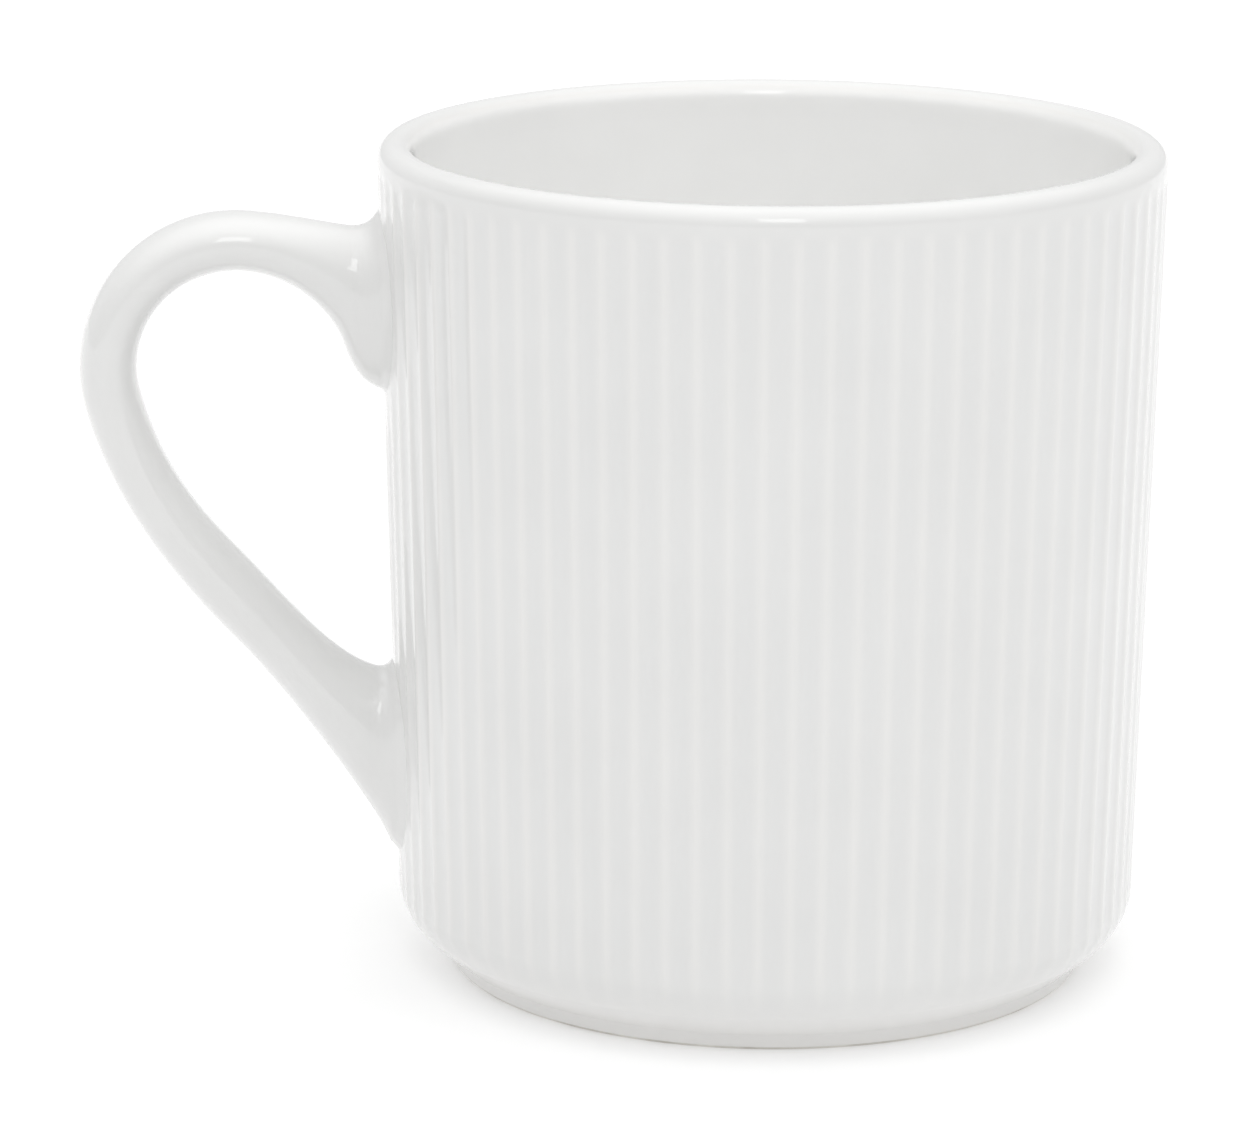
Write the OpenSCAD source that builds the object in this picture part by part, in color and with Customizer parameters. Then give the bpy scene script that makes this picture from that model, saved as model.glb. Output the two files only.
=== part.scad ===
// Straight-sided porcelain mug: a fluted cup on a turned foot ring, and a loop
// handle that is luted on at two roots. Origin: centre of the foot, +Z up,
// handle towards -X. Millimetres.

/* [Cup] */
// Outside diameter of the rim
rim_d = 84; // [70:0.5:110]
// Height from the resting surface to the top of the rim
cup_h = 90; // [75:0.5:120]
// Outside diameter at the bottom of the wall, where the chamfer starts
base_d = 79.8; // [66:0.2:110]
// Thickness of the wall
wall_t = 3.9; // [3:0.1:6]
// Thickness of the floor, inside to underside
floor_t = 4.6; // [3.5:0.1:7]
// Radius of the corner inside, between the wall and the floor
inner_corner_r = 9; // [4:0.5:14]
// Radius that turns the wall into the chamfer
outer_corner_r = 5.5; // [3:0.25:7]
// Angle of the chamfer above the resting surface
chamfer_angle = 39; // [30:1:50]

/* [Foot ring] */
// Outside diameter of the face that rests on the table
foot_d = 68.4; // [56:0.2:70]
// Width of that face
foot_w = 3; // [2:0.1:5]
// Height of the foot ring's outer side
foot_h = 1.8; // [1:0.1:4]
// Depth of the recess under the cup
recess_h = 1.9; // [0.5:0.1:3]

/* [Flutes] */
// Number of flutes round the wall
flute_count = 78; // [40:1:90]
// Depth of a flute
flute_depth = 0.25; // [0.1:0.05:0.6]
// Width of the ridge left between two flutes, at the rim
ridge_w = 0.6; // [0.3:0.1:1.2]
// Plain band left between the flutes and the top of the rim
rim_band = 2.5; // [2.5:0.5:12]

/* [Handle] */
// How far the handle stands out from the wall
handle_reach = 32.2; // [26:0.2:40]
// Height of the centre of the handle's loop
loop_z = 66.2; // [58:0.2:70]
// Radius of the loop, to the middle of the strap
loop_r = 13.5; // [11:0.5:15]
// Thickness of the strap
strap_t = 6.1; // [5:0.1:8]
// Width of the strap
strap_w = 10.5; // [8:0.5:16]
// Width of the strap at its two roots
root_w = 12.5; // [9:0.5:18]
// Height of the upper root's middle
upper_root_z = 72.4; // [66:0.2:76]
// Height of the upper root from end to end
upper_root_h = 17; // [12:0.5:18]
// Height of the lower root's middle
lower_root_z = 23.4; // [22:0.2:30]
// Height of the lower root from end to end
lower_root_h = 18.4; // [12:0.5:20]

/* [Slip joints] */
// Thickness of the slip between the wall and a root's end face
slip_t = 0.9; // [0.6:0.1:1.5]
// How far the slip's bead spreads past the root all round
bead_w = 1.4; // [0.8:0.1:2.5]

/* [Hidden] */

rim_r = rim_d / 2;
base_r = base_d / 2;
foot_r = foot_d / 2;
// The lip is rounded almost to a half circle.
lip_r = wall_t * 0.49;
floor_z = recess_h + floor_t;
// How much wider the foot ring is at its top than at its resting face.
foot_flare = 0.5;
// How much the recess narrows from the resting face up.
recess_draft = 0.6;
// Radii of the four corners round the foot ring, from the recess outwards.
recess_corner_r = 0.8;
foot_inner_r = 0.4;
foot_outer_r = 0.7;
foot_top_r = 0.5;
// Steps in the arc of a small corner and of a large one.
small_arc = 4;
large_arc = 8;
round_sides = 180;
chamfer_top_z = foot_h + (base_r - foot_r - foot_flare) * tan(chamfer_angle);
wall_lean = (rim_r - base_r) / (cup_h - chamfer_top_z);

flute_pitch = 2 * PI * rim_r / flute_count;
// Width of the slope on each side of a ridge.
flute_side_w = (flute_pitch - ridge_w) * 0.27;
// Height over which a flute fades out at each end.
flute_run_out = 1.4;
flute_high_z = cup_h - rim_band;
// Plain strip between the wall's lower corner and the flutes.
flute_low_gap = 0.2;
// The flutes stand on a band of wall that is set into the turned cup.
band_seat = wall_t * 0.35;
band_back = wall_t * 0.65;
// A hair of extra radius at the band's ends keeps their edges clear of the turned wall.
band_proud = 0.02;

strap_rings = 12;
section_points = 28;
section_power = 2.3;

// Outside radius of the wall at height z, over the ridges.
function wall_r(z) = base_r + (z - chamfer_top_z) * wall_lean;

function unit(v) = v / norm(v);

function lerp(a, b, t) = a + (b - a) * t;

// Points of an arc of radius r that rounds corner b between a and c.
function rounded(a, b, c, r, steps) =
    let (
        u = unit(a - b),
        w = unit(c - b),
        half = acos(u * w) / 2,
        centre = b + unit(u + w) * r / sin(half),
        from = b + u * r / tan(half) - centre,
        to = b + w * r / tan(half) - centre,
        a0 = atan2(from.y, from.x),
        turn = atan2(from.x * to.y - from.y * to.x, from * to)
    )
    [for (i = [0:steps]) centre + r * [cos(a0 + turn * i / steps), sin(a0 + turn * i / steps)]];

// Point of a cubic curve at t.
function curve(p, t) =
    pow(1 - t, 3) * p[0] + 3 * t * pow(1 - t, 2) * p[1] + 3 * t * t * (1 - t) * p[2] + pow(t, 3) * p[3];

// ---- Cup ----

underside_mid = [0, recess_h];
foot_recess = [foot_r - foot_w - recess_draft, recess_h];
foot_inner = [foot_r - foot_w, 0];
foot_outer = [foot_r, 0];
foot_top = [foot_r + foot_flare, foot_h];
wall_foot = [base_r, chamfer_top_z];
rim_outer = [rim_r, cup_h];
rim_inner = [rim_r - wall_t, cup_h];
floor_corner = [wall_r(floor_z) - wall_t, floor_z];
floor_mid = [0, floor_z];

outer_corner = rounded(foot_top, wall_foot, rim_outer, outer_corner_r, large_arc);
flute_low_z = outer_corner[large_arc].y + flute_low_gap;

cup_outline = concat(
    [underside_mid],
    rounded(underside_mid, foot_recess, foot_inner, recess_corner_r, small_arc),
    rounded(foot_recess, foot_inner, foot_outer, foot_inner_r, small_arc),
    rounded(foot_inner, foot_outer, foot_top, foot_outer_r, small_arc),
    rounded(foot_outer, foot_top, wall_foot, foot_top_r, small_arc),
    outer_corner,
    [
        [wall_r(flute_low_z), flute_low_z],
        [wall_r(flute_low_z) - band_seat, flute_low_z],
        [wall_r(flute_high_z) - band_seat, flute_high_z],
        [wall_r(flute_high_z), flute_high_z]
    ],
    rounded(wall_foot, rim_outer, rim_inner, lip_r, large_arc),
    rounded(rim_outer, rim_inner, floor_corner, lip_r, large_arc),
    rounded(rim_inner, floor_corner, floor_mid, inner_corner_r, large_arc),
    [floor_mid]
);

// Azimuth of ridge i. Ridge 0 lies on the handle's middle plane.
function ridge_angle(i) = 180 + i * 360 / flute_count;

// Ring of points round the wall at height z: a ridge, then a trough of the given depth.
function fluted_ring(z, depth, proud = 0) =
    let (
        r = wall_r(z) + proud,
        ridge = ridge_w / 2 / rim_r * 180 / PI,
        side = flute_side_w / rim_r * 180 / PI,
        step = 360 / flute_count
    )
    [
        for (i = [0:flute_count - 1])
            for (p = [[-ridge, r], [ridge, r], [ridge + side, r - depth], [step - ridge - side, r - depth]])
                let (a = ridge_angle(i) + p[0])
                [p[1] * cos(a), p[1] * sin(a), z]
    ];

// The fluted stretch of the wall, filled in to its middle.
module fluted_plug() {
    lofted([
        fluted_ring(flute_low_z, 0, band_proud),
        fluted_ring(flute_low_z + flute_run_out, flute_depth),
        fluted_ring(flute_high_z - flute_run_out, flute_depth),
        fluted_ring(flute_high_z, 0, band_proud)
    ]);
}

module body() {
    color("white") {
        rotate_extrude($fn = round_sides)
            polygon(cup_outline);
        difference() {
            fluted_plug();
            cylinder(
                h = cup_h,
                r1 = wall_r(0) - band_back,
                r2 = wall_r(cup_h) - band_back,
                $fn = round_sides
            );
        }
    }
}

// ---- Handle: a strap between an outer and an inner edge curve ----

loop_mid = [wall_r(loop_z) + handle_reach - loop_r - strap_t / 2, loop_z];
// The loop starts and ends at these angles from straight up.
loop_in = -5;
loop_out = 105;

// Point of the loop at an angle from straight up, r from its centre.
function loop_point(r, a) = loop_mid + r * [sin(a), cos(a)];

// Direction in which the loop runs on at that angle.
function loop_way(a) = [cos(a), -sin(a)];

outer_r = loop_r + strap_t / 2;
inner_r = loop_r - strap_t / 2;

// Point of a root's end face at height z: the face leans as the wall does.
function root_face(z) = [wall_r(z) + slip_t, z];

upper_out = root_face(upper_root_z + upper_root_h / 2);
upper_in = root_face(upper_root_z - upper_root_h / 2);
lower_out = root_face(lower_root_z - lower_root_h / 2);
lower_in = root_face(lower_root_z + lower_root_h / 2);
// The underside of the upper root swells into a shoulder before it turns into the loop.
shoulder_step = [3.51, 5.1];
shoulder = upper_in + shoulder_step;
shoulder_way = unit([0.35, 1]);
// Middle of the straight run down to the lower root, bowed a little off the straight line.
run_out_bow = [0.82, -0.8];
run_in_bow = [2.28, -2.4];
run_out = lerp(loop_point(outer_r, loop_out), lower_out, 0.52) + run_out_bow;
run_in = lerp(loop_point(inner_r, loop_out), lower_in, 0.5) + run_in_bow;
run_way = unit([-0.69, -0.73]);

// Each curve leaves and meets its ends along the direction that its middle points give.
upper_out_curve = [
    upper_out,
    upper_out + [3.4, 0.1],
    loop_point(outer_r, loop_in) - 5.5 * loop_way(loop_in),
    loop_point(outer_r, loop_in)
];
shoulder_curve = [
    upper_in,
    upper_in + [2, 0.8],
    shoulder - 2.2 * shoulder_way,
    shoulder
];
upper_in_curve = [
    shoulder,
    shoulder + 3.2 * shoulder_way,
    loop_point(inner_r, loop_in) - 5.5 * loop_way(loop_in),
    loop_point(inner_r, loop_in)
];
run_out_curve = [
    loop_point(outer_r, loop_out),
    loop_point(outer_r, loop_out) + 11.5 * loop_way(loop_out),
    run_out - 9 * run_way,
    run_out
];
run_in_curve = [
    loop_point(inner_r, loop_out),
    loop_point(inner_r, loop_out) + 9 * loop_way(loop_out),
    run_in - 6 * run_way,
    run_in
];
lower_out_curve = [
    run_out,
    run_out + 8 * run_way,
    lower_out + 7 * unit([0.5, 0.87]),
    lower_out
];
lower_in_curve = [
    run_in,
    run_in + 7.5 * run_way,
    lower_in + [5, 0.8],
    lower_in
];

// Part of the upper root's inner edge that the shoulder takes.
shoulder_share = 0.35;
// The root narrows to the strap before this sweep ends, by this factor.
root_taper = 1.4;

// Inner edge of the upper root at t: the shoulder, then the sweep into the loop.
function upper_inner(t) =
    t < shoulder_share
        ? curve(shoulder_curve, t / shoulder_share)
        : curve(upper_in_curve, (t - shoulder_share) / (1 - shoulder_share));

// Stations along the strap: [outer edge point, inner edge point, width].
upper_stations = [
    for (i = [0:strap_rings - 1])
        let (t = i / strap_rings)
        [curve(upper_out_curve, t), upper_inner(t), lerp(root_w, strap_w, sin(90 * min(1, t * root_taper)))]
];
loop_stations = [
    for (i = [0:strap_rings])
        let (a = lerp(loop_in, loop_out, i / strap_rings))
        [loop_point(outer_r, a), loop_point(inner_r, a), strap_w]
];
run_stations = [
    for (i = [1:strap_rings])
        let (t = i / strap_rings)
        [curve(run_out_curve, t), curve(run_in_curve, t), strap_w]
];
lower_stations = [
    for (i = [1:strap_rings])
        let (t = i / strap_rings)
        [curve(lower_out_curve, t), curve(lower_in_curve, t), lerp(strap_w, root_w, 1 - cos(90 * t))]
];
stations = concat(upper_stations, loop_stations, run_stations, lower_stations);

// Signed power, which squares an ellipse up a little.
function bulge(c) = sign(c) * pow(abs(c), 2 / section_power);

// One closed ring of the strap, grown all round by extra.
function ring(station, extra = 0) =
    let (
        middle = (station[0] + station[1]) / 2,
        half = (station[0] - station[1]) / 2,
        reach = half + unit(half) * extra,
        side = station[2] / 2 + extra
    )
    [
        for (i = [0:section_points - 1])
            let (
                a = 360 * i / section_points,
                p = middle + reach * bulge(cos(a))
            )
            [-p.x, side * bulge(sin(a)), p.y]
    ];

// Closed skin over a list of rings with the same number of points.
module lofted(rings) {
    n = len(rings[0]);
    last = len(rings) - 1;
    polyhedron(
        points = [for (r = rings) each r],
        faces = concat(
            [[for (i = [0:n - 1]) i]],
            [for (k = [0:last - 1]) for (i = [0:n - 1])
                [k * n + i, (k + 1) * n + i, k * n + (i + 1) % n]],
            [for (k = [0:last - 1]) for (i = [0:n - 1])
                [(k + 1) * n + i, (k + 1) * n + (i + 1) % n, k * n + (i + 1) % n]],
            [[for (i = [n - 1:-1:0]) last * n + i]]
        ),
        convexity = 6
    );
}

module handle() {
    color("white")
        lofted([for (s = stations) ring(s)]);
}

// ---- Slip joints ----

// How deep a joint's solid starts inside the wall, before the wall is cut out of it.
joint_root = wall_t * 0.6;
// The bead's hollow: how far it has spread, and how far it has come to the wall, at its neck.
neck_spread = 0.35;
neck_reach = 0.6;

// The same ring pressed back on to the wall, then sunk into it by depth.
function on_wall(points, depth) =
    [for (p = points) [depth - sqrt(pow(wall_r(p.z), 2) - p.y * p.y), p.y, p.z]];

// The ring part of the way from the root's end face to the wall.
function between(face, foot, t) = [for (i = [0:len(face) - 1]) lerp(face[i], foot[i], t)];

// A root's bead: from its end face out to the wall, hollow-sided, and into the flutes.
module slip_joint(station) {
    face = ring(station);
    foot = on_wall(ring(station, bead_w), 0);
    neck = on_wall(ring(station, bead_w * neck_spread), 0);
    lofted([face, between(face, neck, neck_reach), foot, on_wall(ring(station, bead_w), joint_root)]);
}

module upper_joint() {
    color("whitesmoke")
        difference() {
            slip_joint(stations[0]);
            fluted_plug();
        }
}

module lower_joint() {
    color("whitesmoke")
        difference() {
            slip_joint(stations[len(stations) - 1]);
            fluted_plug();
        }
}

body();
handle();
upper_joint();
lower_joint();
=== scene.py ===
"""Looks of a fluted porcelain mug: a spun cup, a looped strap handle and the slip that joins them."""

import logging
import math
from dataclasses import dataclass, field
from enum import Enum

import bmesh
import bpy
from mathutils import Matrix, Vector


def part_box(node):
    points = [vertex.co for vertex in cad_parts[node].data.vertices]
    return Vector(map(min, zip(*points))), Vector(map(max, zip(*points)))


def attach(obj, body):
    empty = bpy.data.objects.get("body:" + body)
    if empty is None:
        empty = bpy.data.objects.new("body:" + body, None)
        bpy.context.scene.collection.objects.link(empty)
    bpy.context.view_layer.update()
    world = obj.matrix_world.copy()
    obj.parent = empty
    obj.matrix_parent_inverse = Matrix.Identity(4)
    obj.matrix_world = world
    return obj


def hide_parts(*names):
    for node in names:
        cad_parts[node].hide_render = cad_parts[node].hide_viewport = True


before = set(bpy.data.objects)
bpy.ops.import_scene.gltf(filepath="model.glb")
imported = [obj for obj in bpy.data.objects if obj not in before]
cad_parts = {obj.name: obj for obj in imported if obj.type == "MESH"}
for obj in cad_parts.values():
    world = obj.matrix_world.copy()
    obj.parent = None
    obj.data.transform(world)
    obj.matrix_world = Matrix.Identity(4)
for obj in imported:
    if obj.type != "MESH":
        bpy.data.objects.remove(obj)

LOG = logging.getLogger("mug")
MM = 0.001
BODY = "root"
# The mesh attribute that holds painted shade and painted light over the clay's tone, and its values:
# painted shade in flute hollows, the clay's own tone, painted light on the chamfer and foot, and painted
# light inside the cup.
PAINTED_LIGHT_LAYER = "glaze"
PAINTED_SHADE = 0.0
PLAIN = 0.4
PAINTED_LIFT = 0.7
PAINTED_INSIDE_LIGHT = 1.0
# Points closer than this are one point.
MERGE_DISTANCE = 0.001 * MM


class Slot(Enum):
    """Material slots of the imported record."""

    CUP = "glazed_porcelain"
    HANDLE = "handle_glaze"
    JOINT = "slip_glaze"


# ---- Colours and nodes ----


def linear(code: str) -> tuple[float, float, float, float]:
    """Turn an sRGB hex colour into a linear one.

    Args:
        code: Six hex digits after a hash sign.

    Returns:
        Linear red, green and blue, and an alpha of 1.
    """
    channels = [int(code[i : i + 2], 16) / 255 for i in (1, 3, 5)]
    red, green, blue = (c / 12.92 if c <= 0.04045 else ((c + 0.055) / 1.055) ** 2.4 for c in channels)
    return red, green, blue, 1.0


def add_node(tree: bpy.types.NodeTree, kind: str, links: dict | None = None, **settings) -> bpy.types.Node:
    """Add one node with its settings and links.

    Args:
        tree: The node tree that the node goes into.
        kind: The node's Blender type name.
        links: Input name or index to the output socket that feeds it.
        **settings: Node attributes; inputs is a dictionary of input name or index to value.

    Returns:
        The new node.
    """
    node = tree.nodes.new(kind)
    values = settings.pop("inputs", {})
    for name, value in settings.items():
        setattr(node, name, value)
    for name, value in values.items():
        node.inputs[name].default_value = value
    for name, source in (links or {}).items():
        tree.links.new(source, node.inputs[name])
    return node


def set_stops(ramp: bpy.types.Node, stops: list[tuple[float, str]]) -> None:
    """Give a colour ramp its stops.

    Args:
        ramp: The ramp node.
        stops: Positions and hex colours, from low to high.
    """
    elements = ramp.color_ramp.elements
    while len(elements) > len(stops):
        elements.remove(elements[-1])
    while len(elements) < len(stops):
        elements.new(1.0)
    for element, (position, code) in zip(elements, stops):
        element.position = position
        element.color = linear(code)


# ---- Finishes ----


@dataclass(frozen=True)
class GlazedPorcelain:
    """White porcelain under a clear glaze that was dipped and fired.

    The clay gives a soft, even white, and the glass over it a sharp reflection that wavers a little,
    because molten glaze never settles quite flat. Its colour is painted darker in the flutes' hollows as
    painted shade, lighter on the ridges as painted highlight, lighter round the foot as painted light,
    and whitest inside as painted light that makes up for the shade within the cup.
    """

    name: str
    # Tones: painted shade in flute hollows, the clay's own tone, painted light on ridges and round the
    # foot, and painted light inside the cup.
    painted_shade_tone: str = "#dbdcdc"
    clay: str = "#e0e0df"
    painted_lift_tone: str = "#e9e8e6"
    painted_inside_tone: str = "#fafaf9"
    clay_roughness: float = 0.42
    glaze_roughness: float = 0.05
    glaze_ior: float = 1.5
    ripple: float = 5.0 * MM
    ripple_depth: float = 0.012 * MM
    cloud: float = 14.0 * MM
    cloud_tint: tuple[float, float] = (0.985, 1.01)

    def make(self) -> bpy.types.Material:
        """Build the material.

        Returns:
            The node material.
        """
        material = bpy.data.materials.new(self.name)
        material.use_nodes = True
        tree = material.node_tree
        tree.nodes.clear()
        place = add_node(tree, "ShaderNodeTexCoord").outputs["Object"]

        # The layer's value picks the clay's tone with painted shade and painted light laid over it.
        shade_and_light = add_node(tree, "ShaderNodeAttribute", attribute_name=PAINTED_LIGHT_LAYER).outputs["Fac"]
        tone_by_shade_and_light = add_node(tree, "ShaderNodeValToRGB", links={"Fac": shade_and_light})
        tones = [(PAINTED_SHADE, self.painted_shade_tone), (PLAIN, self.clay), (PAINTED_LIFT, self.painted_lift_tone), (PAINTED_INSIDE_LIGHT, self.painted_inside_tone)]
        set_stops(tone_by_shade_and_light, tones)
        clouds = add_node(
            tree,
            "ShaderNodeTexNoise",
            links={"Vector": place},
            inputs={"Scale": 1 / self.cloud, "Detail": 2.0},
        )
        faintest, strongest = self.cloud_tint
        tint = add_node(
            tree,
            "ShaderNodeMapRange",
            links={"Value": clouds.outputs["Fac"]},
            inputs={"From Min": 0.3, "From Max": 0.7, "To Min": faintest, "To Max": strongest},
        )
        colour = add_node(
            tree,
            "ShaderNodeVectorMath",
            operation="SCALE",
            links={0: tone_by_shade_and_light.outputs["Color"], "Scale": tint.outputs["Result"]},
        )
        wave = add_node(
            tree,
            "ShaderNodeTexNoise",
            links={"Vector": place},
            inputs={"Scale": 1 / self.ripple, "Detail": 1.5, "Roughness": 0.4},
        )
        bump = add_node(
            tree,
            "ShaderNodeBump",
            links={"Height": wave.outputs["Fac"]},
            inputs={"Strength": 1.0, "Distance": self.ripple_depth},
        )
        glazed = add_node(
            tree,
            "ShaderNodeBsdfPrincipled",
            links={"Base Color": colour.outputs["Vector"], "Coat Normal": bump.outputs["Normal"]},
            inputs={
                "Roughness": self.clay_roughness,
                "IOR": self.glaze_ior,
                "Coat Weight": 1.0,
                "Coat Roughness": self.glaze_roughness,
                "Coat IOR": self.glaze_ior,
                "Specular IOR Level": 0.25,
            },
        )
        add_node(tree, "ShaderNodeOutputMaterial", links={"Surface": glazed.outputs["BSDF"]})
        return material


@dataclass(frozen=True)
class BareBisque:
    """Porcelain that was wiped clean of glaze so that it doesn't stick to the kiln shelf.

    It is dry and matt, with a fine sandy grain, and a little grey where it has rubbed on tables.
    """

    name: str = "bare_bisque"
    clay: str = "#dcdad4"
    rubbed: str = "#c3c0b9"
    grain: float = 0.35 * MM
    grain_depth: float = 0.03 * MM
    scuff: float = 4.0 * MM

    def make(self) -> bpy.types.Material:
        """Build the material.

        Returns:
            The node material.
        """
        material = bpy.data.materials.new(self.name)
        material.use_nodes = True
        tree = material.node_tree
        tree.nodes.clear()
        place = add_node(tree, "ShaderNodeTexCoord").outputs["Object"]
        scuffs = add_node(
            tree,
            "ShaderNodeTexNoise",
            links={"Vector": place},
            inputs={"Scale": 1 / self.scuff, "Detail": 6.0},
        )
        colour = add_node(tree, "ShaderNodeValToRGB", links={"Fac": scuffs.outputs["Fac"]})
        set_stops(colour, [(0.42, self.clay), (0.72, self.rubbed)])
        grains = add_node(
            tree,
            "ShaderNodeTexNoise",
            links={"Vector": place},
            inputs={"Scale": 1 / self.grain, "Detail": 2.0},
        )
        bump = add_node(
            tree,
            "ShaderNodeBump",
            links={"Height": grains.outputs["Fac"]},
            inputs={"Strength": 0.6, "Distance": self.grain_depth},
        )
        bare = add_node(
            tree,
            "ShaderNodeBsdfPrincipled",
            links={"Base Color": colour.outputs["Color"], "Normal": bump.outputs["Normal"]},
            inputs={"Roughness": 0.85, "IOR": 1.5, "Specular IOR Level": 0.3},
        )
        add_node(tree, "ShaderNodeOutputMaterial", links={"Surface": bare.outputs["BSDF"]})
        return material


# ---- Mesh helpers ----


def finish_piece(
    mesh: bmesh.types.BMesh, name: str, materials: list[bpy.types.Material], nodes: list[str]
) -> bpy.types.Object:
    """Turn a bmesh into a smooth object that rides on the mug and stands for CAD nodes.

    Args:
        mesh: The finished bmesh, which is freed.
        name: Name of the piece.
        materials: The piece's materials, in the order of its faces' material indices.
        nodes: CAD nodes that the piece replaces.

    Returns:
        The new object.
    """
    data = bpy.data.meshes.new(name)
    for face in mesh.faces:
        face.smooth = True
    mesh.to_mesh(data)
    mesh.free()
    for material in materials:
        data.materials.append(material)
    piece = bpy.data.objects.new(name, data)
    bpy.context.scene.collection.objects.link(piece)
    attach(piece, BODY)
    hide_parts(*nodes)
    LOG.info("%s: %d faces", name, len(data.polygons))
    return piece


def smooth_step(x: float) -> float:
    """Ease from 0 to 1 as x goes from 0 to 1."""
    x = min(max(x, 0.0), 1.0)
    return x * x * (3 - 2 * x)


def between(a: float, b: float, t: float) -> float:
    """The value a share t of the way from a to b."""
    return a + (b - a) * t


def curve_point(points: list[Vector], t: float) -> Vector:
    """Point of a cubic curve.

    Args:
        points: The curve's four control points.
        t: Share of the way along it, 0 to 1.

    Returns:
        The point.
    """
    a, b, c, d = points
    s = 1 - t
    return a * s**3 + b * (3 * t * s * s) + c * (3 * t * t * s) + d * t**3


# ---- Cup ----


@dataclass(frozen=True)
class Patch:
    """An oval of the wall, on the handle's side, that slip was smoothed over."""

    middle_z: float
    half_width: float
    half_height: float

    def away(self, place: Vector) -> float:
        """Distance of a place from the oval's middle, where 1 is the oval's edge."""
        return math.hypot(place.y / self.half_width, (place.z - self.middle_z) / self.half_height)


@dataclass
class Cup:
    """The cast cup: a spun shell on a turned foot ring, with flutes pressed into its wall."""

    rim_radius: float
    height: float
    base_radius: float = 39.9 * MM
    wall: float = 3.9 * MM
    floor: float = 4.6 * MM
    inner_corner: float = 9.0 * MM
    outer_corner: float = 5.5 * MM
    chamfer_angle: float = math.radians(39)
    foot_radius: float = 34.2 * MM
    foot_width: float = 3.0 * MM
    foot_height: float = 1.8 * MM
    foot_flare: float = 0.5 * MM
    foot_draft: float = 0.6 * MM
    foot_inner_edge: float = 0.5 * MM
    foot_outer_edge: float = 0.8 * MM
    foot_top_corner: float = 0.6 * MM
    recess: float = 1.9 * MM
    recess_corner: float = 1.0 * MM
    lip_share: float = 0.49
    # Rings of points that keep the two flat faces flat, as shares of the foot's inner radius.
    underside_ring: float = 0.55
    floor_ring: float = 0.4
    foot_inner_steps: int = 4
    edge_steps: int = 5
    lip_steps: int = 9
    corner_steps: int = 12
    flutes: int = 78
    flute_depth: float = 0.22 * MM
    ridge_softness: float = 0.52
    columns_per_flute: int = 8
    flute_bottom: float = 4.6 * MM
    flute_run_in: float = 6.0 * MM
    flute_top_gap: float = 2.3 * MM
    flute_run_out: float = 1.8 * MM
    run_out_rows: int = 6
    wall_rows: int = 32
    wall_rows_gap: float = 4.0 * MM
    bare_height: float = 0.45 * MM
    # How strongly the flutes' hollows get painted shade and their ridges painted highlight.
    painted_flute_light: float = 0.28
    # Where across the lip the painted inside light starts, and over how much of it, as shares of the wall.
    inside_light_blend: tuple[float, float] = (0.72, 0.3)
    # Where beside a patch the flutes start, and over how much of it, as shares of the patch.
    patch_blend: tuple[float, float] = (0.85, 0.4)
    patches: list[Patch] = field(default_factory=list)

    @property
    def chamfer_top(self) -> float:
        """Height at which the chamfer would meet the wall if it weren't rounded."""
        run = self.base_radius - self.foot_radius - self.foot_flare
        return self.foot_height + run * math.tan(self.chamfer_angle)

    @property
    def lean(self) -> float:
        """How much the wall's radius grows for each unit of height."""
        return (self.rim_radius - self.base_radius) / (self.height - self.chamfer_top)

    @property
    def flute_top(self) -> float:
        """Height at which the flutes have run out, under the lip."""
        return self.height - self.flute_top_gap

    def wall_radius(self, z: float) -> float:
        """Outside radius of the wall at a height."""
        return self.base_radius + (z - self.chamfer_top) * self.lean

    def outline(self) -> list[tuple[float, float, float, int]]:
        """Corners of half the cup's section.

        Returns:
            Radius, height, rounding radius and rounding steps of each corner, from the middle of the
            underside, round the outside and the rim, to the middle of the floor.
        """
        inner_foot = self.foot_radius - self.foot_width
        floor_top = self.recess + self.floor
        lip = self.wall * self.lip_share
        return [
            (0.0, self.recess, 0.0, 0),
            (inner_foot * self.underside_ring, self.recess, 0.0, 0),
            (inner_foot - self.foot_draft, self.recess, self.recess_corner, self.edge_steps),
            (inner_foot, 0.0, self.foot_inner_edge, self.foot_inner_steps),
            (self.foot_radius, 0.0, self.foot_outer_edge, self.edge_steps),
            (self.foot_radius + self.foot_flare, self.foot_height, self.foot_top_corner, self.edge_steps),
            (self.base_radius, self.chamfer_top, self.outer_corner, self.corner_steps),
            (self.rim_radius, self.height, lip, self.lip_steps),
            (self.rim_radius - self.wall, self.height, lip, self.lip_steps),
            (self.wall_radius(floor_top) - self.wall, floor_top, self.inner_corner, self.corner_steps),
            (inner_foot * self.floor_ring, floor_top, 0.0, 0),
            (0.0, floor_top, 0.0, 0),
        ]

    def section(self, mesh: bmesh.types.BMesh) -> None:
        """Draw half the cup's section as a chain of edges and round its corners.

        Args:
            mesh: The bmesh that the chain goes into.
        """
        corners = self.outline()
        points = [mesh.verts.new((r, 0.0, z)) for r, z, _, _ in corners]
        for a, b in zip(points, points[1:]):
            mesh.edges.new((a, b))
        places = [p.co.copy() for p in points]
        for i, (_, _, radius, steps) in enumerate(corners):
            if not radius:
                continue
            half = (places[i - 1] - places[i]).angle(places[i + 1] - places[i]) / 2
            bmesh.ops.bevel(
                mesh,
                geom=[points[i]],
                offset=radius / math.tan(half),
                offset_type="OFFSET",
                segments=steps,
                profile=0.5,
                affect="VERTICES",
                material=-1,
            )

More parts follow.
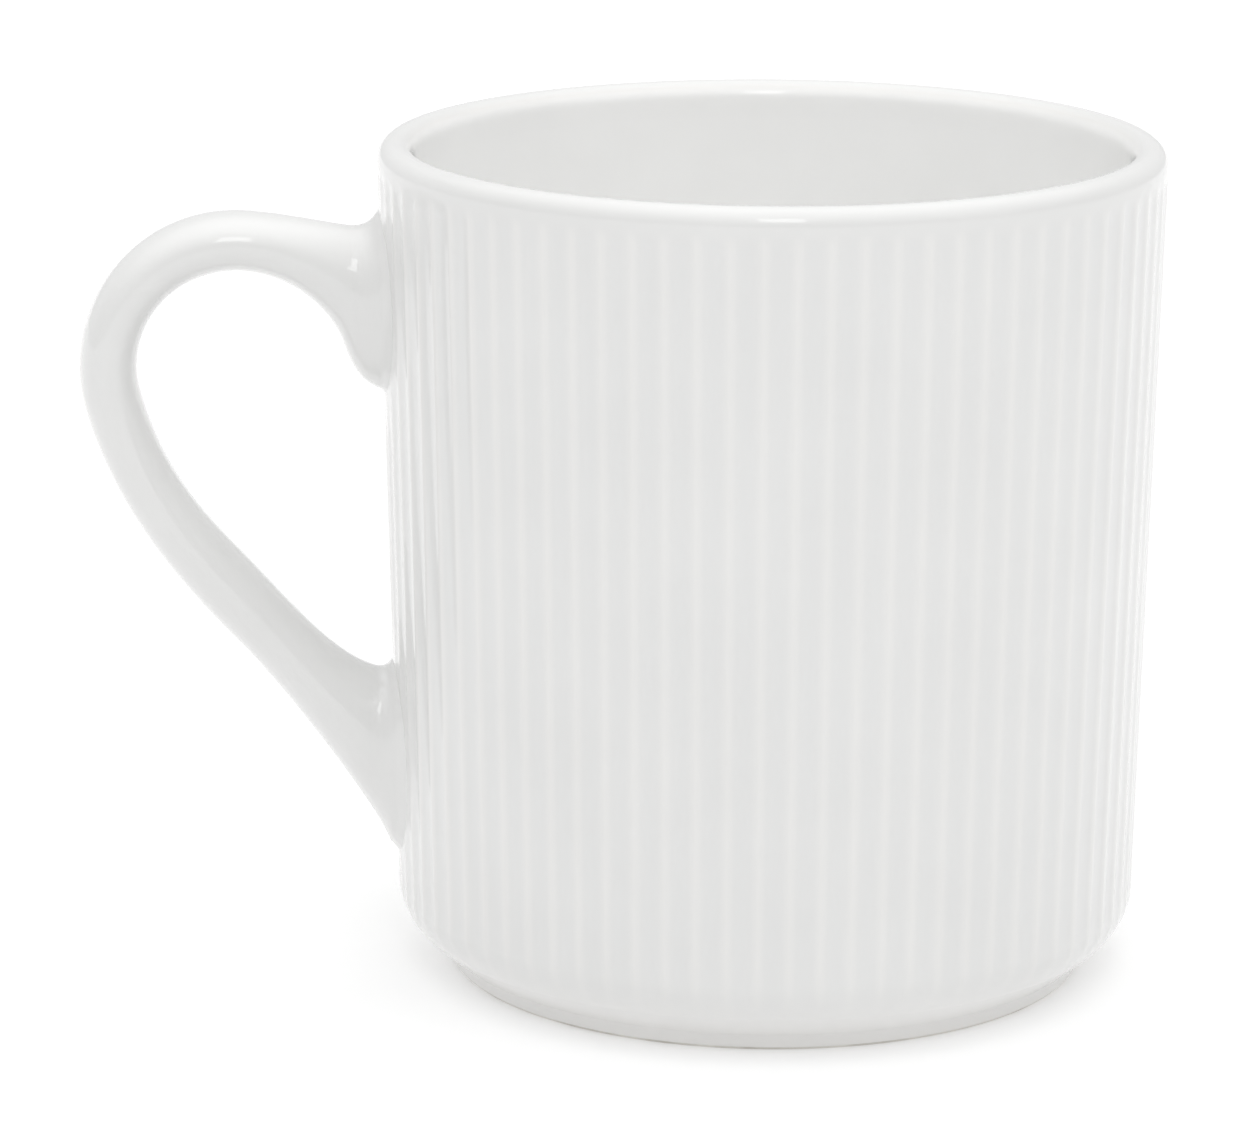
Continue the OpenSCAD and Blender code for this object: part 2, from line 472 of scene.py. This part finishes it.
    def flute_rows(self) -> list[float]:
        """Heights at which the wall needs rows of points for the flutes."""
        top = self.flute_top
        full = top - self.flute_run_out
        low = self.chamfer_top + self.wall_rows_gap
        run_out = [between(top, full, i / self.run_out_rows) for i in range(self.run_out_rows + 1)]
        return run_out + [between(low, full, i / self.wall_rows) for i in range(self.wall_rows)]

    def flute_share(self, place: Vector) -> float:
        """How much of a flute is left beside the handle's roots, where slip was smoothed over it."""
        if place.x > 0:
            return 1.0
        start, spread = self.patch_blend
        shares = [smooth_step((patch.away(place) - start) / spread) for patch in self.patches]
        return min(shares, default=1.0)

    def flute_strength(self, z: float) -> float:
        """How deep the flutes are at a height, as a share of their full depth."""
        rising = smooth_step((z - self.flute_bottom) / self.flute_run_in)
        falling = smooth_step((self.flute_top - z) / self.flute_run_out)
        return min(rising, falling)

    def painted_light_at(self, radius: float, z: float) -> float:
        """Painted light on the plain cup: lighter round the foot and chamfer, and whitest inside, to make
        up for the shade there.
        """
        inside = radius < self.wall_radius(z) - self.wall / 2 and z > self.recess + self.floor / 2
        # Painted light makes the inside of the cup whitest.
        if inside and z < self.height - self.wall:
            return PAINTED_INSIDE_LIGHT
        if z > self.height - self.wall:
            start, spread = self.inside_light_blend
            across = (self.wall_radius(z) - radius) / self.wall
            return between(PLAIN, PAINTED_INSIDE_LIGHT, smooth_step((across - start) / spread))
        # Painted light lifts the tone towards the foot and chamfer, where shade falls.
        return between(PAINTED_LIFT, PLAIN, smooth_step(z / (self.chamfer_top + self.foot_height)))

    def press_flutes(self, mesh: bmesh.types.BMesh) -> None:
        """Move the outside of the wall in to make round-bottomed flutes between narrow ridges.

        A ridge lies on the handle's middle plane.

        Args:
            mesh: The spun cup.
        """
        glaze = mesh.verts.layers.float.new(PAINTED_LIGHT_LAYER)
        for vert in mesh.verts:
            x, y, z = vert.co
            radius = math.hypot(x, y)
            vert[glaze] = self.painted_light_at(radius, z)
            strength = self.flute_strength(z) * self.flute_share(vert.co)
            if strength <= 0 or radius < self.wall_radius(z) - self.wall / 2:
                continue
            turn = (math.atan2(y, x) / math.tau * self.flutes) % 1
            hollow = 1 - math.exp(-((math.sin(math.pi * turn) / self.ridge_softness) ** 2) / 2)
            shrink = 1 - self.flute_depth * strength * hollow / radius
            vert.co = (x * shrink, y * shrink, z)
            # Painted shade darkens the flutes' hollows and painted highlight lightens their ridges.
            vert[glaze] += self.painted_flute_light * (0.5 - hollow) * strength

    def build(self, glaze: bpy.types.Material, bisque: bpy.types.Material) -> bpy.types.Object:
        """Spin the section, press the flutes and dress the cup.

        Args:
            glaze: The cup's glazed finish.
            bisque: The finish of the wiped foot.

        Returns:
            The finished cup.
        """
        mesh = bmesh.new()
        self.section(mesh)
        for z in self.flute_rows():
            geometry = [*mesh.verts, *mesh.edges]
            bmesh.ops.bisect_plane(
                mesh, geom=geometry, dist=MERGE_DISTANCE / 10, plane_co=(0, 0, z), plane_no=(0, 0, 1)
            )
        steps = self.flutes * self.columns_per_flute
        bmesh.ops.spin(
            mesh,
            geom=[*mesh.verts, *mesh.edges],
            cent=(0, 0, 0),
            axis=(0, 0, 1),
            angle=math.tau,
            steps=steps,
            use_merge=True,
        )
        bmesh.ops.remove_doubles(mesh, verts=mesh.verts, dist=MERGE_DISTANCE)
        bmesh.ops.recalc_face_normals(mesh, faces=mesh.faces)
        self.press_flutes(mesh)
        wiped_radius = self.foot_radius - self.foot_width - self.foot_draft
        for face in mesh.faces:
            middle = face.calc_center_median()
            if middle.z < self.bare_height and math.hypot(middle.x, middle.y) > wiped_radius:
                face.material_index = 1
        return finish_piece(mesh, "cup_shell", [glaze, bisque], ["body"])


# ---- Handle ----


@dataclass
class Handle:
    """The cast strap handle: two edge curves in the X-Z plane with rounded sections between them."""

    cup: Cup
    reach: float = 32.2 * MM
    loop_z: float = 66.2 * MM
    loop_radius: float = 13.5 * MM
    thickness: float = 6.1 * MM
    width: float = 10.5 * MM
    root_width: float = 12.5 * MM
    upper_z: float = 72.4 * MM
    upper_height: float = 17.0 * MM
    lower_z: float = 23.4 * MM
    lower_height: float = 18.4 * MM
    slip: float = 0.9 * MM
    fillet: float = 3.6 * MM
    upper_fillets: tuple[float, float] = (3.6 * MM, 1.4 * MM)
    lower_fillets: tuple[float, float] = (3.2 * MM, 2.0 * MM)
    fillet_steps: int = 18
    fillet_ease: float = 0.77
    tuck: float = 0.004 * MM
    # How far out along the strap, in fillet radii, the slip's tucked edge starts.
    tuck_leads: tuple[float, float] = (1.3, 1.15)
    sink: float = 0.45 * MM
    sink_start: float = -1.5
    section_power: float = 2.3
    section_points: int = 48
    rows: int = 22
    loop_start: float = math.radians(-5)
    loop_end: float = math.radians(105)
    shoulder_share: float = 0.35
    # Steps in millimetres, out from the wall and up, to where two curves of an edge meet.
    shoulder_step: tuple[float, float] = (3.51, 5.1)
    run_out_bow: tuple[float, float] = (0.82, -0.8)
    run_in_bow: tuple[float, float] = (2.28, -2.4)
    # Directions of an edge at those places, and of the outer edge where it reaches the lower root.
    shoulder_way: tuple[float, float] = (0.35, 1.0)
    run_way: tuple[float, float] = (-0.69, -0.73)
    root_way: tuple[float, float] = (0.5, 0.87)
    root_taper: float = 1.4
    curves: dict[str, list[Vector]] = field(default_factory=dict)

    def __post_init__(self) -> None:
        """Work out the edge curves from the sizes.

        A curve's two inner control points lie on arms of so many millimetres from its ends.
        """
        outer, inner = self.edge_radii
        upper_out = self.root_face(self.upper_z + self.upper_height / 2)
        upper_in = self.root_face(self.upper_z - self.upper_height / 2)
        lower_out = self.root_face(self.lower_z - self.lower_height / 2)
        lower_in = self.root_face(self.lower_z + self.lower_height / 2)
        shoulder = upper_in + self.step(*self.shoulder_step)
        up = Vector(self.shoulder_way).normalized() * MM
        start, end = self.loop_way(self.loop_start) * MM, self.loop_way(self.loop_end) * MM
        down = Vector(self.run_way).normalized() * MM
        exit_out, exit_in = self.loop_point(outer, self.loop_end), self.loop_point(inner, self.loop_end)
        run_out = exit_out.lerp(lower_out, 0.52) + self.step(*self.run_out_bow)
        run_in = exit_in.lerp(lower_in, 0.5) + self.step(*self.run_in_bow)
        top_out, top_in = self.loop_point(outer, self.loop_start), self.loop_point(inner, self.loop_start)
        rise = Vector(self.root_way).normalized() * MM
        self.curves = {
            "upper_out": [upper_out, upper_out + self.step(3.4, 0.1), top_out - start * 5.5, top_out],
            "shoulder": [upper_in, upper_in + self.step(2, 0.8), shoulder - up * 2.2, shoulder],
            "upper_in": [shoulder, shoulder + up * 3.2, top_in - start * 5.5, top_in],
            "run_out": [exit_out, exit_out + end * 11.5, run_out - down * 9, run_out],
            "run_in": [exit_in, exit_in + end * 9, run_in - down * 6, run_in],
            "lower_out": [run_out, run_out + down * 8, lower_out + rise * 7, lower_out],
            "lower_in": [run_in, run_in + down * 7.5, lower_in + self.step(5, 0.8), lower_in],
        }

    @property
    def edge_radii(self) -> tuple[float, float]:
        """Radii of the loop's outer and inner edge."""
        return self.loop_radius + self.thickness / 2, self.loop_radius - self.thickness / 2

    def patches(self) -> list[Patch]:
        """Where the slip of each root was smoothed over the wall."""
        side = self.root_width / 2 + self.fillet
        return [
            Patch(self.upper_z, side, self.upper_height / 2 + self.fillet),
            Patch(self.lower_z, side, self.lower_height / 2 + self.fillet),
        ]

    def root_face(self, z: float) -> Vector:
        """Point of a root's end face at a height, which leans as the wall does."""
        return Vector((self.cup.wall_radius(z) + self.slip, z))

    @staticmethod
    def step(out: float, up: float) -> Vector:
        """A step in millimetres, out from the wall and up."""
        return Vector((out, up)) * MM

    def loop_point(self, radius: float, angle: float) -> Vector:
        """Point of the loop, measured from straight up round its centre."""
        out = self.cup.wall_radius(self.loop_z) + self.reach - self.loop_radius - self.thickness / 2
        return Vector((out, self.loop_z)) + Vector((math.sin(angle), math.cos(angle))) * radius

    @staticmethod
    def loop_way(angle: float) -> Vector:
        """Direction in which the loop runs on at an angle."""
        return Vector((math.cos(angle), -math.sin(angle)))

    def upper_inner(self, t: float) -> Vector:
        """Point of the upper root's inner edge: the shoulder, then the sweep into the loop."""
        share = self.shoulder_share
        if t < share:
            return curve_point(self.curves["shoulder"], t / share)
        return curve_point(self.curves["upper_in"], (t - share) / (1 - share))

    def stations(self) -> list[tuple[Vector, Vector, float]]:
        """Sections along the strap.

        Returns:
            Outer edge point, inner edge point and width of each, from the upper root to the lower.
        """
        found = []
        for i in range(self.rows):
            t = i / self.rows
            narrowed = math.sin(math.pi / 2 * min(1, t * self.root_taper))
            width = between(self.root_width, self.width, narrowed)
            found.append((curve_point(self.curves["upper_out"], t), self.upper_inner(t), width))
        outer, inner = self.edge_radii
        for i in range(self.rows + 1):
            a = between(self.loop_start, self.loop_end, i / self.rows)
            found.append((self.loop_point(outer, a), self.loop_point(inner, a), self.width))
        for i in range(1, self.rows + 1):
            t = i / self.rows
            found.append(
                (curve_point(self.curves["run_out"], t), curve_point(self.curves["run_in"], t), self.width)
            )
        for i in range(1, self.rows + 1):
            t = i / self.rows
            width = between(self.width, self.root_width, 1 - math.cos(math.pi / 2 * t))
            found.append(
                (curve_point(self.curves["lower_out"], t), curve_point(self.curves["lower_in"], t), width)
            )
        return found

    def section_ring(self, station: tuple[Vector, Vector, float], grow: float = 0.0) -> list[Vector]:
        """Points of one closed section of the strap.

        Args:
            station: Outer edge point, inner edge point and width.
            grow: How much larger the section is all round.

        Returns:
            The points, in order, from the outer edge.
        """
        outer, inner, width = station
        middle, half = (outer + inner) / 2, (outer - inner) / 2
        reach = half + half.normalized() * grow
        bulge = 2 / self.section_power
        found = []
        for i in range(self.section_points):
            angle = math.tau * i / self.section_points
            along = math.copysign(abs(math.cos(angle)) ** bulge, math.cos(angle))
            across = math.copysign(abs(math.sin(angle)) ** bulge, math.sin(angle))
            point = middle + reach * along
            found.append(Vector((-point.x, across * (width / 2 + grow), point.y)))
        return found

    @staticmethod
    def lay(mesh: bmesh.types.BMesh, points: list[Vector]) -> list[bmesh.types.BMVert]:
        """Lay one closed ring of edges through points.

        Args:
            mesh: The bmesh that the ring goes into.
            points: Where its vertices are, in order.

        Returns:
            The ring's vertices, in order.
        """
        made = bmesh.ops.create_circle(mesh, segments=len(points), radius=1.0)["verts"]
        for vert, point in zip(made, points):
            vert.co = point
        return made

    def loft(self, mesh: bmesh.types.BMesh, rings: list[list[bmesh.types.BMVert]]) -> None:
        """Join rings into one skin and close its two ends.

        Args:
            mesh: The bmesh that holds the rings.
            rings: Rings of vertices, in order.
        """
        loops = [list(dict.fromkeys(edge for vert in ring for edge in vert.link_edges)) for ring in rings]
        for a, b in zip(loops, loops[1:]):
            bmesh.ops.bridge_loops(mesh, edges=a + b)
        for loop in (loops[0], loops[-1]):
            bmesh.ops.contextual_create(mesh, geom=loop)
            for edge in loop:
                edge.smooth = False
        bmesh.ops.recalc_face_normals(mesh, faces=mesh.faces)

    def build(self, glaze: bpy.types.Material) -> bpy.types.Object:
        """Loft the strap.

        Args:
            glaze: The handle's finish.

        Returns:
            The finished strap.
        """
        mesh = bmesh.new()
        self.loft(mesh, [self.lay(mesh, self.section_ring(s)) for s in self.stations()])
        self.glaze_plainly(mesh)
        return finish_piece(mesh, "handle_strap", [glaze], ["handle"])

    @staticmethod
    def glaze_plainly(mesh: bmesh.types.BMesh) -> None:
        """Record plain glaze on every vertex."""
        glaze = mesh.verts.layers.float.new(PAINTED_LIGHT_LAYER)
        for vert in mesh.verts:
            vert[glaze] = PLAIN

    def wall_face(self, point: Vector) -> float:
        """How far the cup's wall is from the middle plane, beside a point."""
        return math.sqrt(self.cup.wall_radius(point.z) ** 2 - point.y**2)

    def gap(self, point: Vector) -> float:
        """Distance of a point from the wall, along X."""
        return -point.x - self.wall_face(point)

    def at_gap(self, path: list[Vector], gap: float) -> Vector:
        """Point of a line along the strap that lies a distance from the wall.

        Args:
            path: Points along the strap, from the root outwards.
            gap: The distance from the wall.

        Returns:
            The point, or the line's first point where the distance is shorter than the slip.
        """
        for a, b in zip(path, path[1:]):
            if self.gap(b) >= gap:
                share = (gap - self.gap(a)) / (self.gap(b) - self.gap(a))
                return a.lerp(b, max(share, 0.0))
        return path[-1].copy()

    def fillet_line(self, path: list[Vector], way: Vector, radius: float) -> list[Vector]:
        """One line down the fillet, from just under the strap's skin into the wall.

        Args:
            path: Points of the strap, from the root outwards.
            way: Direction out of the strap.
            radius: The fillet's radius there.

        Returns:
            The line's points.
        """
        found = [self.at_gap(path, radius * lead) - way * self.tuck for lead in self.tuck_leads]
        for i in range(self.fillet_steps + 1):
            turn = math.pi / 2 * i / self.fillet_steps
            gap = radius * (1 - math.sin(turn) ** self.fillet_ease)
            spread = radius * (1 - max(math.cos(turn), 0.0) ** self.fillet_ease)
            point = self.at_gap(path, gap) + way * (spread - self.tuck)
            sink = self.sink * smooth_step(between(self.sink_start, 1.0, i / self.fillet_steps))
            point.x = sink - self.wall_face(point) - gap
            found.append(point)
        return found + [found[-1] + Vector((self.sink, 0, 0))]

    def build_joint(
        self,
        name: str,
        node: str,
        sections: list[tuple[Vector, Vector, float]],
        radii: tuple[float, float],
        glaze: bpy.types.Material,
    ) -> bpy.types.Object:
        """Loft the smoothed fillet of slip between a root and the wall.

        Args:
            name: Name of the piece.
            node: The CAD node that it replaces.
            sections: The strap's sections, from the wall outwards.
            radii: The fillet's radius at the strap's outer and inner edge.
            glaze: Its finish.

        Returns:
            The finished fillet.
        """
        mesh = bmesh.new()
        paths = list(zip(*(self.section_ring(s) for s in sections)))
        lines = []
        for i, (path, grown) in enumerate(zip(paths, self.section_ring(sections[0], MM))):
            along = math.cos(math.tau * i / self.section_points)
            edge_radius = radii[0] if along > 0 else radii[1]
            radius = between(self.fillet, edge_radius, along**2)
            lines.append(self.fillet_line(path, (grown - path[0]).normalized(), radius))
        self.loft(mesh, [self.lay(mesh, ring) for ring in zip(*lines)])
        self.glaze_plainly(mesh)
        return finish_piece(mesh, name, [glaze], [node])


# ---- Studio ----


@dataclass(frozen=True)
class SoftBox:
    """A soft box that hangs in the studio and faces the middle of the mug."""

    name: str
    place: tuple[float, float, float]
    size: tuple[float, float]
    power: float

    def hang(self, aim: Vector) -> None:
        """Hang the box.

        Args:
            aim: The point that it faces.
        """
        data = bpy.data.lights.new(self.name, "AREA")
        data.shape = "RECTANGLE"
        data.size, data.size_y = self.size
        data.energy = self.power
        light = bpy.data.objects.new(self.name, data)
        light.location = self.place
        light.rotation_euler = (aim - Vector(self.place)).to_track_quat("-Z", "Y").to_euler()
        bpy.context.scene.collection.objects.link(light)


@dataclass
class Studio:
    """A plain white floor, a white tent, two soft boxes and the camera."""

    # The lens and the sensor's width are in millimetres, as Blender wants them.
    lens: float = 158.985
    sensor_width: float = 36.0
    distance: float = 578.45 * MM
    camera_height: float = 187.96 * MM
    handle_turn: float = math.radians(6.0)
    pan: float = -0.0267
    tilt: float = 0.2449
    roll: float = -0.0041
    tent_low: float = 0.4
    tent_high: float = 1.97
    backdrop: float = 0.78
    backdrop_edges: tuple[float, float] = (-0.9, 0.8)
    floor_size: float = 6.0
    floor_tint: str = "#cfcfcf"
    floor_glow: float = 0.37
    aim_height: float = 50.0 * MM
    boxes: tuple[SoftBox, ...] = (
        SoftBox("front_box", place=(-0.06, -1.2, 1.04), size=(0.31, 0.6), power=1.8),
        SoftBox("right_box", place=(1.1, -0.7, 0.6), size=(0.5, 0.9), power=0.35),
    )

    def camera(self) -> None:
        """Place the camera, looking at the mug from the front and a little above."""
        data = bpy.data.cameras.new("camera")
        data.sensor_width = self.sensor_width
        data.lens = self.lens
        data.clip_start = 10 * MM
        turn = Matrix.Rotation(-self.handle_turn, 3, "Z")
        level = Vector((math.sin(self.pan), math.cos(self.pan), 0)) * math.cos(self.tilt)
        ahead = turn @ (level - Vector((0, 0, math.sin(self.tilt))))
        right = turn @ Vector((math.cos(self.pan), -math.sin(self.pan), 0))
        down = ahead.cross(right)
        right, down = (
            right * math.cos(self.roll) + down * math.sin(self.roll),
            down * math.cos(self.roll) - right * math.sin(self.roll),
        )
        place = turn @ Vector((0, -self.distance, self.camera_height))
        camera = bpy.data.objects.new("camera", data)
        axes = Matrix((right, -down, -ahead)).transposed()
        camera.matrix_world = Matrix.Translation(place) @ axes.to_4x4()
        bpy.context.scene.collection.objects.link(camera)
        bpy.context.scene.camera = camera

    def floor(self) -> None:
        """Lay the pale floor."""
        mesh = bmesh.new()
        bmesh.ops.create_grid(mesh, x_segments=1, y_segments=1, size=self.floor_size)
        data = bpy.data.meshes.new("floor")
        mesh.to_mesh(data)
        mesh.free()
        material = bpy.data.materials.new("white_paper_floor")
        material.use_nodes = True
        shader = material.node_tree.nodes["Principled BSDF"]
        shader.inputs["Base Color"].default_value = linear(self.floor_tint)
        shader.inputs["Roughness"].default_value = 0.9
        shader.inputs["Specular IOR Level"].default_value = 0.1
        shader.inputs["Emission Color"].default_value = linear("#ffffff")
        shader.inputs["Emission Strength"].default_value = self.floor_glow
        data.materials.append(material)
        floor = bpy.data.objects.new("floor", data)
        bpy.context.scene.collection.objects.link(floor)

    def sky(self) -> None:
        """Surround the mug with a white tent, bright overhead, and a lit backdrop behind."""
        world = bpy.data.worlds.new("studio")
        world.use_nodes = True
        tree = world.node_tree
        way = add_node(tree, "ShaderNodeTexCoord").outputs["Generated"]
        parts = add_node(tree, "ShaderNodeSeparateXYZ", links={"Vector": way}).outputs
        climb = add_node(tree, "ShaderNodeMath", operation="MULTIPLY", links={0: parts["Z"], 1: parts["Z"]})
        tent = add_node(
            tree,
            "ShaderNodeMapRange",
            links={"Value": climb.outputs[0]},
            inputs={"To Min": self.tent_low, "To Max": self.tent_high},
        )
        fades, full = self.backdrop_edges
        behind = add_node(
            tree,
            "ShaderNodeMapRange",
            interpolation_type="SMOOTHSTEP",
            links={"Value": parts["Y"]},
            inputs={"From Min": fades, "From Max": full, "To Max": self.backdrop},
        )
        light = add_node(
            tree,
            "ShaderNodeMath",
            operation="MAXIMUM",
            links={0: tent.outputs["Result"], 1: behind.outputs["Result"]},
        )
        background = tree.nodes["Background"]
        background.inputs["Color"].default_value = (1, 1, 1, 1)
        tree.links.new(light.outputs[0], background.inputs["Strength"])
        bpy.context.scene.world = world

    def build(self) -> None:
        """Set the stage, the light and the camera."""
        scene = bpy.context.scene
        scene.view_settings.view_transform = "Standard"
        self.sky()
        self.floor()
        for box in self.boxes:
            box.hang(Vector((0, 0, self.aim_height)))
        self.camera()


def main() -> None:
    """Build the mug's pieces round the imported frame, then the studio."""
    logging.basicConfig(level=logging.INFO, format="%(name)s %(message)s")
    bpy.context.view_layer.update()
    _, body_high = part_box("body")
    cup = Cup(rim_radius=body_high[0], height=body_high[2])
    handle = Handle(cup)
    cup.patches = handle.patches()
    bisque = BareBisque().make()
    cup.build(GlazedPorcelain(Slot.CUP.value).make(), bisque)
    handle.build(GlazedPorcelain(Slot.HANDLE.value).make())
    joint_glaze = GlazedPorcelain(Slot.JOINT.value).make()
    sections = handle.stations()
    upper, lower = sections[: handle.rows], sections[: -handle.rows : -1]
    handle.build_joint("upper_slip_fillet", "upper_joint", upper, handle.upper_fillets, joint_glaze)
    handle.build_joint("lower_slip_fillet", "lower_joint", lower, handle.lower_fillets, joint_glaze)
    Studio().build()


if __name__ == "__main__":
    main()
